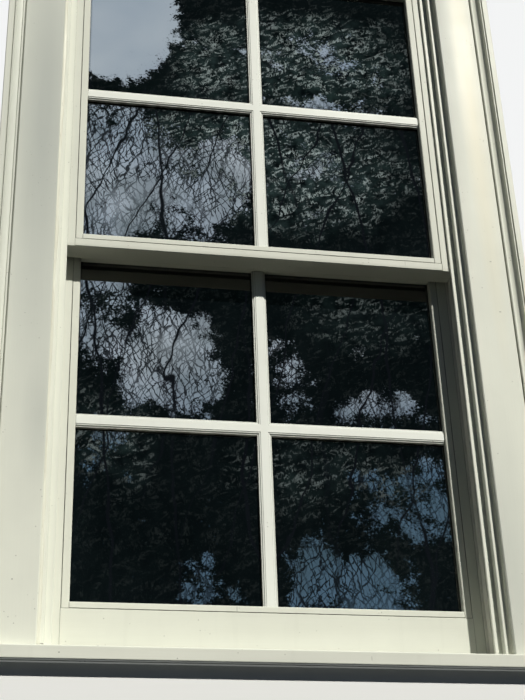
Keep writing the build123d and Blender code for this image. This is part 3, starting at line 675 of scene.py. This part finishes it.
# Filler bead: its first size, how much it changes from row to row in mm, and its limits
CAULK_SEED = 5
CAULK_WIDTH = 4.6 * MM
CAULK_WIDTH_DRIFT = 0.5
CAULK_HEIGHT_DRIFT = 0.6
CAULK_LEAST_WIDTH = 3.4 * MM
CAULK_MOST_WIDTH = 6.0 * MM
CAULK_LEAST_HEIGHT = 3.2 * MM
CAULK_MOST_HEIGHT = 7.0 * MM
CAULK_STEP = 7 * MM
CAULK_SINK = 0.3 * MM
CAULK_ARC = 5


def caulk_row(corner, across, outward, width, height):
    """Hollow fillet in the corner between the track's step and the casing's side."""
    points = [
        corner - across * CAULK_SINK - outward * CAULK_SINK,
        corner + across * width - outward * CAULK_SINK,
    ]
    for i in range(CAULK_ARC):
        turn = math.pi / 2 * i / (CAULK_ARC - 1)
        inward = across * width * (1 - math.sin(turn))
        points.append(corner + inward + outward * height * (1 - math.cos(turn)))
    points.append(corner - across * CAULK_SINK + outward * height)
    return points


def caulk_beads(material):
    """Run a wobbly bead of filler up both sides of the opening and along its head."""
    rng = random.Random(CAULK_SEED)
    track, casing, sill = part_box("track_right"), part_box("casing_right"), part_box("sill")
    corner_x = casing[0].x
    step_y = track[0].y
    slope = (sill[1].z - NOSE_HEIGHT) / (sill[1].y - sill[0].y)
    foot_z = NOSE_HEIGHT + (step_y - sill[0].y) * slope
    head_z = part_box("casing_head")[0].z
    tall, wide = head_z - foot_z, 2 * corner_x
    right, up, street = Vector((1, 0, 0)), Vector((0, 0, 1)), Vector((0, -1, 0))
    runs = (
        ("caulk_left", Vector((-corner_x, step_y, foot_z)), up, right, tall),
        ("caulk_right", Vector((corner_x, step_y, foot_z)), up, -right, tall),
        ("caulk_head", Vector((-corner_x, step_y, head_z)), right, -up, wide),
    )
    for name, start, way, across, length in runs:
        width, height, rows = CAULK_WIDTH, CAULK_WIDTH, []
        count = int(length / CAULK_STEP)
        for i in range(count + 1):
            width += rng.uniform(-CAULK_WIDTH_DRIFT, CAULK_WIDTH_DRIFT) * MM
            height += rng.uniform(-CAULK_HEIGHT_DRIFT, CAULK_HEIGHT_DRIFT) * MM
            width = min(max(width, CAULK_LEAST_WIDTH), CAULK_MOST_WIDTH)
            height = min(max(height, CAULK_LEAST_HEIGHT), CAULK_MOST_HEIGHT)
            rows.append(caulk_row(start + way * (length * i / count), across, street, width, height))
        new_piece(name, round_solid(name, rows), material, "frame")


# Screws: the shank's tip and neck and the cross are shares of the head's radius and dome
SCREW_SIDES = 24
SCREW_RINGS = 4
SCREW_HEAD_DEPTH = 0.6 * MM
SHANK_TIP = 0.35
SHANK_NECK = 0.45
CROSS_TURN = 0.5
CROSS_LENGTH = 1.1
CROSS_WIDTH = 0.22
CROSS_DEPTH = 0.9


def ring(radius, level):
    """Points round the Z axis."""
    turns = [math.tau * k / SCREW_SIDES for k in range(SCREW_SIDES)]
    return [(radius * math.cos(turn), radius * math.sin(turn), level) for turn in turns]


def screw_solid(name, radius, dome, shank):
    """Screw along +Z with a domed head whose seat is at z = 0."""
    rows = [ring(radius * SHANK_TIP, -shank), ring(radius * SHANK_NECK, -SCREW_HEAD_DEPTH), ring(radius, 0.0)]
    for i in range(1, SCREW_RINGS):
        turn = math.pi / 2 * i / SCREW_RINGS
        rows.append(ring(radius * math.cos(turn), dome * math.sin(turn)))
    return round_solid(name, rows)


def screw(name, place, direction, body, material, radius, dome, shank):
    """One screw with its head at a place, facing a direction, and a cross cut in it."""
    piece = new_piece(name, screw_solid(name, radius, dome, shank), material, body)
    turn = Vector(direction).to_track_quat("Z", "Y").to_matrix().to_4x4()
    cut = bmesh.new()
    for quarter in (0.0, math.pi / 2):
        slot = Matrix.Translation((0, 0, dome)) @ Matrix.Rotation(quarter + CROSS_TURN, 4, "Z")
        size = Matrix.Diagonal((radius * CROSS_LENGTH, radius * CROSS_WIDTH, dome * CROSS_DEPTH, 1.0))
        bmesh.ops.create_cube(cut, size=1.0, matrix=slot @ size)
    cutter = bpy.data.objects.new(name + "_cut", written(cut, name + "_cut"))
    bpy.context.scene.collection.objects.link(cutter)
    boolean = piece.modifiers.new("cross", "BOOLEAN")
    boolean.object = cutter
    boolean.use_self = True
    depsgraph = bpy.context.evaluated_depsgraph_get()
    final = bpy.data.meshes.new_from_object(piece.evaluated_get(depsgraph))
    piece.modifiers.clear()
    piece.data = final
    bpy.data.objects.remove(cutter)
    final.transform(Matrix.Translation(place) @ turn)


# Radius and dome of the head, and length of the shank
LOCK_SCREW = (1.6 * MM, 0.15 * MM, 9 * MM)
KEEPER_SCREW = (2.4 * MM, 0.9 * MM, 8 * MM)
LIFT_SCREW = (2.6 * MM, 1.1 * MM, 9 * MM)
LOCK_SCREW_SINK = 0.2 * MM


def screws(material):
    """Screws of the lock, the keeper and the lift."""
    base, keeper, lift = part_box("lock_base"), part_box("keeper"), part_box("sash_lift")
    up, inward = (0, 0, 1), (0, 1, 0)
    lock_y = (base[0].y + base[1].y) / 2
    lock_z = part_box("lower_meeting_rail")[1].z + LOCK_PLATE - LOCK_SCREW_SINK
    for side, x in (("left", base[0].x + LOCK_HOLE_INSET), ("right", base[1].x - LOCK_HOLE_INSET)):
        screw(f"lock_screw_{side}", (x, lock_y, lock_z), up, "lower_sash", material, *LOCK_SCREW)
    keeper_y = (keeper[0].y + KEEPER_WALL + keeper[1].y) / 2
    keeper_z = keeper[0].z + KEEPER_WALL
    for side, x in (("left", keeper[0].x + KEEPER_HOLE_LEFT), ("right", keeper[1].x - KEEPER_HOLE_RIGHT)):
        screw(f"keeper_screw_{side}", (x, keeper_y, keeper_z), up, "upper_sash", material, *KEEPER_SCREW)
    lift_y = lift[0].y + LIFT_WALL
    lift_z = lift[0].z + LIFT_HOLE_RISE
    for side, x in (("left", -LIFT_HOLE_X), ("right", LIFT_HOLE_X)):
        screw(f"lift_screw_{side}", (x, lift_y, lift_z), inward, "lower_sash", material, *LIFT_SCREW)


# Stage, light and camera

def plain_material(name, colour):
    """Plain dull surface."""
    inputs = {"Base Color": colour, "Roughness": STAGE_ROUGHNESS}
    return finish(new_material(name)[0], "ShaderNodeBsdfPrincipled", inputs)


def stage_mesh(name, verts, faces, material):
    """A stage object from plain faces."""
    mesh = bpy.data.meshes.new(name)
    mesh.from_pydata(verts, [], faces)
    mesh.materials.append(material)
    made = bpy.data.objects.new(name, mesh)
    bpy.context.scene.collection.objects.link(made)
    return made


def build_floor():
    """Pale floor with a step down in front, so that the window can be seen from below its sill."""
    material = plain_material("pale_floor", FLOOR)
    left, right, near, far = -FLOOR_REACH, FLOOR_REACH, -FLOOR_REACH, FLOOR_REACH
    step, foot = FLOOR_STEP_Y, -FLOOR_DROP
    upper = [(left, step, 0.0), (right, step, 0.0), (right, far, 0.0), (left, far, 0.0)]
    lower = [(left, near, foot), (right, near, foot), (right, step, foot), (left, step, foot),
             (right, step, 0.0), (left, step, 0.0)]
    stage_mesh("floor_behind", upper, [(0, 1, 2, 3)], material)
    front = stage_mesh("floor_in_front", lower, [(0, 1, 2, 3), (3, 2, 4, 5)], material)
    front.data.materials.append(plain_material("pale_riser", PALE))
    front.data.polygons[1].material_index = 1
    front.visible_diffuse = False
    front.visible_glossy = False


def card_areas(tree, place, table):
    """Soft patches of the card; where they overlap, the strongest counts."""
    patches = []
    for x, z, wide, tall, strength in table:
        local = add(tree, "ShaderNodeMapping", {0: place, 1: (x, 0.0, z), 3: (wide, 1.0, tall)},
                    vector_type="TEXTURE").outputs[0]
        away = add(tree, "ShaderNodeVectorMath", {0: local}, operation="LENGTH").outputs["Value"]
        patches.append(ramp(tree, away, 0.45, 1.25, strength, 0.0))
    return strongest(tree, patches)


def leaning(tree, place, lean, offset, scale=(1.0, 1.0, 1.0)):
    """Coordinates turned in the card's plane, shifted and scaled."""
    inputs = {0: place, 1: (offset, 0.0, offset), 2: (0.0, lean, 0.0), 3: scale}
    return add(tree, "ShaderNodeMapping", inputs).outputs[0]


def curls(tree, place, scale, lean, offset):
    """1 on short winding lines."""
    field = noise(tree, leaning(tree, place, lean, offset, (scale, 1.0, scale / 1.8)), 1.0, 4.0)
    off = math_node(tree, "ABSOLUTE", math_node(tree, "SUBTRACT", field, 0.5))
    return ramp(tree, off, 0.014, 0.040, 1.0, 0.0)


def strands(tree, place, scale, lean, wobble, width, offset):
    """1 on long broken lines of even width that wander round one leaning direction."""
    turned = leaning(tree, place, lean, offset)
    sway = noise(tree, stretched(tree, turned, (scale * 0.30, 1.0, scale * 0.16)), 1.0, 4.0, 0.6)
    across = add(tree, "ShaderNodeSeparateXYZ", {0: turned}).outputs[0]
    phase = math_node(tree, "ADD", times(tree, across, scale), times(tree, sway, wobble))
    off = math_node(tree, "ABSOLUTE", math_node(tree, "SUBTRACT", math_node(tree, "FRACT", phase), 0.5))
    near = ramp(tree, off, width * 0.4, width, 1.0, 0.0)
    breaks = noise(tree, stretched(tree, turned, (scale * 0.5, 1.0, scale * 0.12)), 1.0, 1.0)
    return times(tree, near, ramp(tree, breaks, 0.40, 0.48))


STRANDS_FINE = (
    (38.0, 0.30, 3.6, 0.065, 0.3),
    (44.0, -0.45, 3.6, 0.070, 1.7),
    (70.0, 0.62, 3.8, 0.095, 3.1),
    (64.0, -0.12, 3.8, 0.090, 5.2),
    (110.0, -0.80, 4.0, 0.130, 7.4),
    (120.0, 0.20, 4.6, 0.140, 8.8),
)
STRANDS_THICK = (
    (9.0, 0.08, 1.6, 0.030, 4.4),
    (13.0, -0.30, 2.2, 0.028, 9.3),
)


def card_material():
    """Glow with open patches, dark ragged masses with lit curls, and dark strands."""
    material, tree = new_material("mirror_card")
    # The mirror image of the card lands on the glass at this scale and offset
    scale = 1.0 / CARD_SCALE
    place = add(tree, "ShaderNodeMapping",
                {0: object_place(tree), 1: (-CARD_SHIFT_X * scale, 0.0, -CARD_SHIFT_Z * scale),
                 3: (scale, 0.0, scale)}).outputs[0]
    height = add(tree, "ShaderNodeSeparateXYZ", {0: place}).outputs[2]
    stir = add(tree, "ShaderNodeTexNoise", {"Vector": place, "Scale": 11.0, "Detail": 5.0, "Roughness": 0.65})
    shift = add(tree, "ShaderNodeVectorMath", {0: stir.outputs[1], 1: (0.5, 0.0, 0.5)}, operation="SUBTRACT")
    ragged = add(tree, "ShaderNodeVectorMath", {0: shift.outputs[0], 1: (0.17, 0.0, 0.17), 2: place},
                 operation="MULTIPLY_ADD").outputs[0]

    openness = math_node(tree, "MAXIMUM", card_areas(tree, ragged, OPEN_AREAS), 0.22)
    clumps = noise(tree, place, 16.0, 7.0, 0.72, 0.3)
    needles = noise(tree, stretched(tree, place, (230.0, 1.0, 280.0)), 1.0, 2.0, 0.7)
    cover = math_node(tree, "ADD", clumps, ramp(tree, needles, 0.3, 0.7, -0.08, 0.08))
    limit = ramp(tree, openness, 0.0, 1.0, 0.80, 0.18)
    gap = ramp(tree, math_node(tree, "SUBTRACT", cover, limit), 0.0, 0.07)

    pale = ramp(tree, noise(tree, place, 4.0, 3.0, 0.5), 0.35, 0.7)
    glow = mix_colour(tree, pale, OPEN_HIGH, OPEN_PALE)
    glow = mix_colour(tree, ramp(tree, height, 0.34, 0.50, 1.0, 0.0), glow, OPEN_LOW)
    below_top = ramp(tree, height, 1.015, 1.05, 1.0, 0.0)
    haze = ramp(tree, noise(tree, place, 13.0, 3.0), 0.40, 0.65, 0.0, 0.45)
    glow = mix_colour(tree, times(tree, haze, below_top), glow, MASS_MID)
    fine = strongest(tree, [strands(tree, place, *row) for row in STRANDS_FINE])
    thinned = ramp(tree, noise(tree, place, 7.0, 2.0), 0.38, 0.52, 0.45, 0.95)
    fine = times(tree, fine, times(tree, below_top, thinned))
    glow = mix_colour(tree, fine, glow, STRAND)

    lit = card_areas(tree, ragged, LIT_AREAS)
    soft = ramp(tree, noise(tree, place, 40.0, 4.0, 0.65), 0.38, 0.72)
    soft = times(tree, soft, ramp(tree, lit, 0.0, 1.0, 0.03, 1.0))
    mass = mix_colour(tree, soft, MASS_DARK, MASS_MID)
    wound = strongest(tree, [curls(tree, place, 105.0, 1.1, 2.2), curls(tree, place, 140.0, -0.6, 6.1)])
    streaks = stretched(tree, leaning(tree, place, 0.45, 3.3), (34.0, 1.0, 74.0))
    kept = ramp(tree, noise(tree, streaks, 1.0, 4.0, 0.6, 1.6), 0.49, 0.62)
    kept = times(tree, kept, ramp(tree, lit, 0.0, 1.0, 0.025, 0.95))
    mass = mix_colour(tree, times(tree, wound, kept), mass, MASS_LIT)

    tone = mix_colour(tree, gap, mass, glow)
    thick = strongest(tree, [strands(tree, place, *row) for row in STRANDS_THICK])
    tone = mix_colour(tree, times(tree, thick, below_top), tone, STRAND)
    return finish(material, "ShaderNodeEmission", {"Color": tone, "Strength": 1.0})


def build_card():
    """Card in front of the window that only gloss and glass see."""
    corners = [(-CARD_HALF, CARD_Y, CARD_FOOT), (CARD_HALF, CARD_Y, CARD_FOOT),
               (CARD_HALF, CARD_Y, CARD_TOP), (-CARD_HALF, CARD_Y, CARD_TOP)]
    card = stage_mesh("mirror_card", corners, [(0, 1, 2, 3)], card_material())
    card.visible_camera = False
    card.visible_diffuse = False
    card.visible_transmission = False
    card.visible_volume_scatter = False
    card.visible_shadow = False


def build_world():
    """Low fill from the street, more from the room side, and a pale background for the camera."""
    world = bpy.data.worlds.new("studio")
    bpy.context.scene.world = world
    world.use_nodes = True
    tree = world.node_tree
    tree.nodes.clear()
    way = add(tree, "ShaderNodeSeparateXYZ", {0: add(tree, "ShaderNodeTexCoord").outputs["Generated"]})
    fill = mix_colour(tree, ramp(tree, way.outputs[2], -0.10, 0.30), FILL_BELOW, FILL_FRONT)
    fill = mix_colour(tree, ramp(tree, way.outputs[1], 0.0, 0.35), fill, FILL_ROOM)
    path = add(tree, "ShaderNodeLightPath")
    gloss = times(tree, path.outputs["Is Glossy Ray"], ramp(tree, way.outputs[2], -0.1, 0.1))
    seen = strongest(tree, [path.outputs["Is Camera Ray"], path.outputs["Is Transmission Ray"], gloss])
    fill_light = add(tree, "ShaderNodeBackground", {"Color": fill, "Strength": 1.0})
    pale = add(tree, "ShaderNodeBackground", {"Color": PALE, "Strength": 1.0})
    both = add(tree, "ShaderNodeMixShader", {0: seen, 1: fill_light.outputs[0], 2: pale.outputs[0]})
    add(tree, "ShaderNodeOutputWorld", {"Surface": both.outputs[0]})


def build_lights():
    """One soft key light from the upper right."""
    data = bpy.data.lights.new("key", "SUN")
    data.energy = SUN_STRENGTH
    data.color = SUN_COLOUR
    data.angle = SUN_SOFTNESS
    key = bpy.data.objects.new("key", data)
    key.rotation_mode = "QUATERNION"
    key.rotation_quaternion = SUN_TOWARDS.to_track_quat("-Z", "Y")
    bpy.context.scene.collection.objects.link(key)


def build_camera():
    """The photograph's camera: low, to the left, looking up."""
    data = bpy.data.cameras.new("camera")
    data.sensor_width = SENSOR
    data.lens = CAMERA_LENS
    data.clip_start = 0.05
    data.clip_end = 60.0
    camera = bpy.data.objects.new("camera", data)
    turn = Matrix((CAMERA_RIGHT, CAMERA_UP, -CAMERA_FORWARD)).transposed()
    camera.rotation_mode = "QUATERNION"
    camera.rotation_quaternion = turn.to_quaternion()
    camera.location = CAMERA_PLACE
    bpy.context.scene.collection.objects.link(camera)
    bpy.context.scene.camera = camera


build_camera()
build_floor()
build_card()
build_world()
build_lights()
glazing_bars(dress())
caulk_beads(caulk("filler"))
screws(metal("screw_steel", SCREW_STEEL, SCREW_DULL, 0.36))
bpy.context.scene.view_settings.view_transform = "Standard"
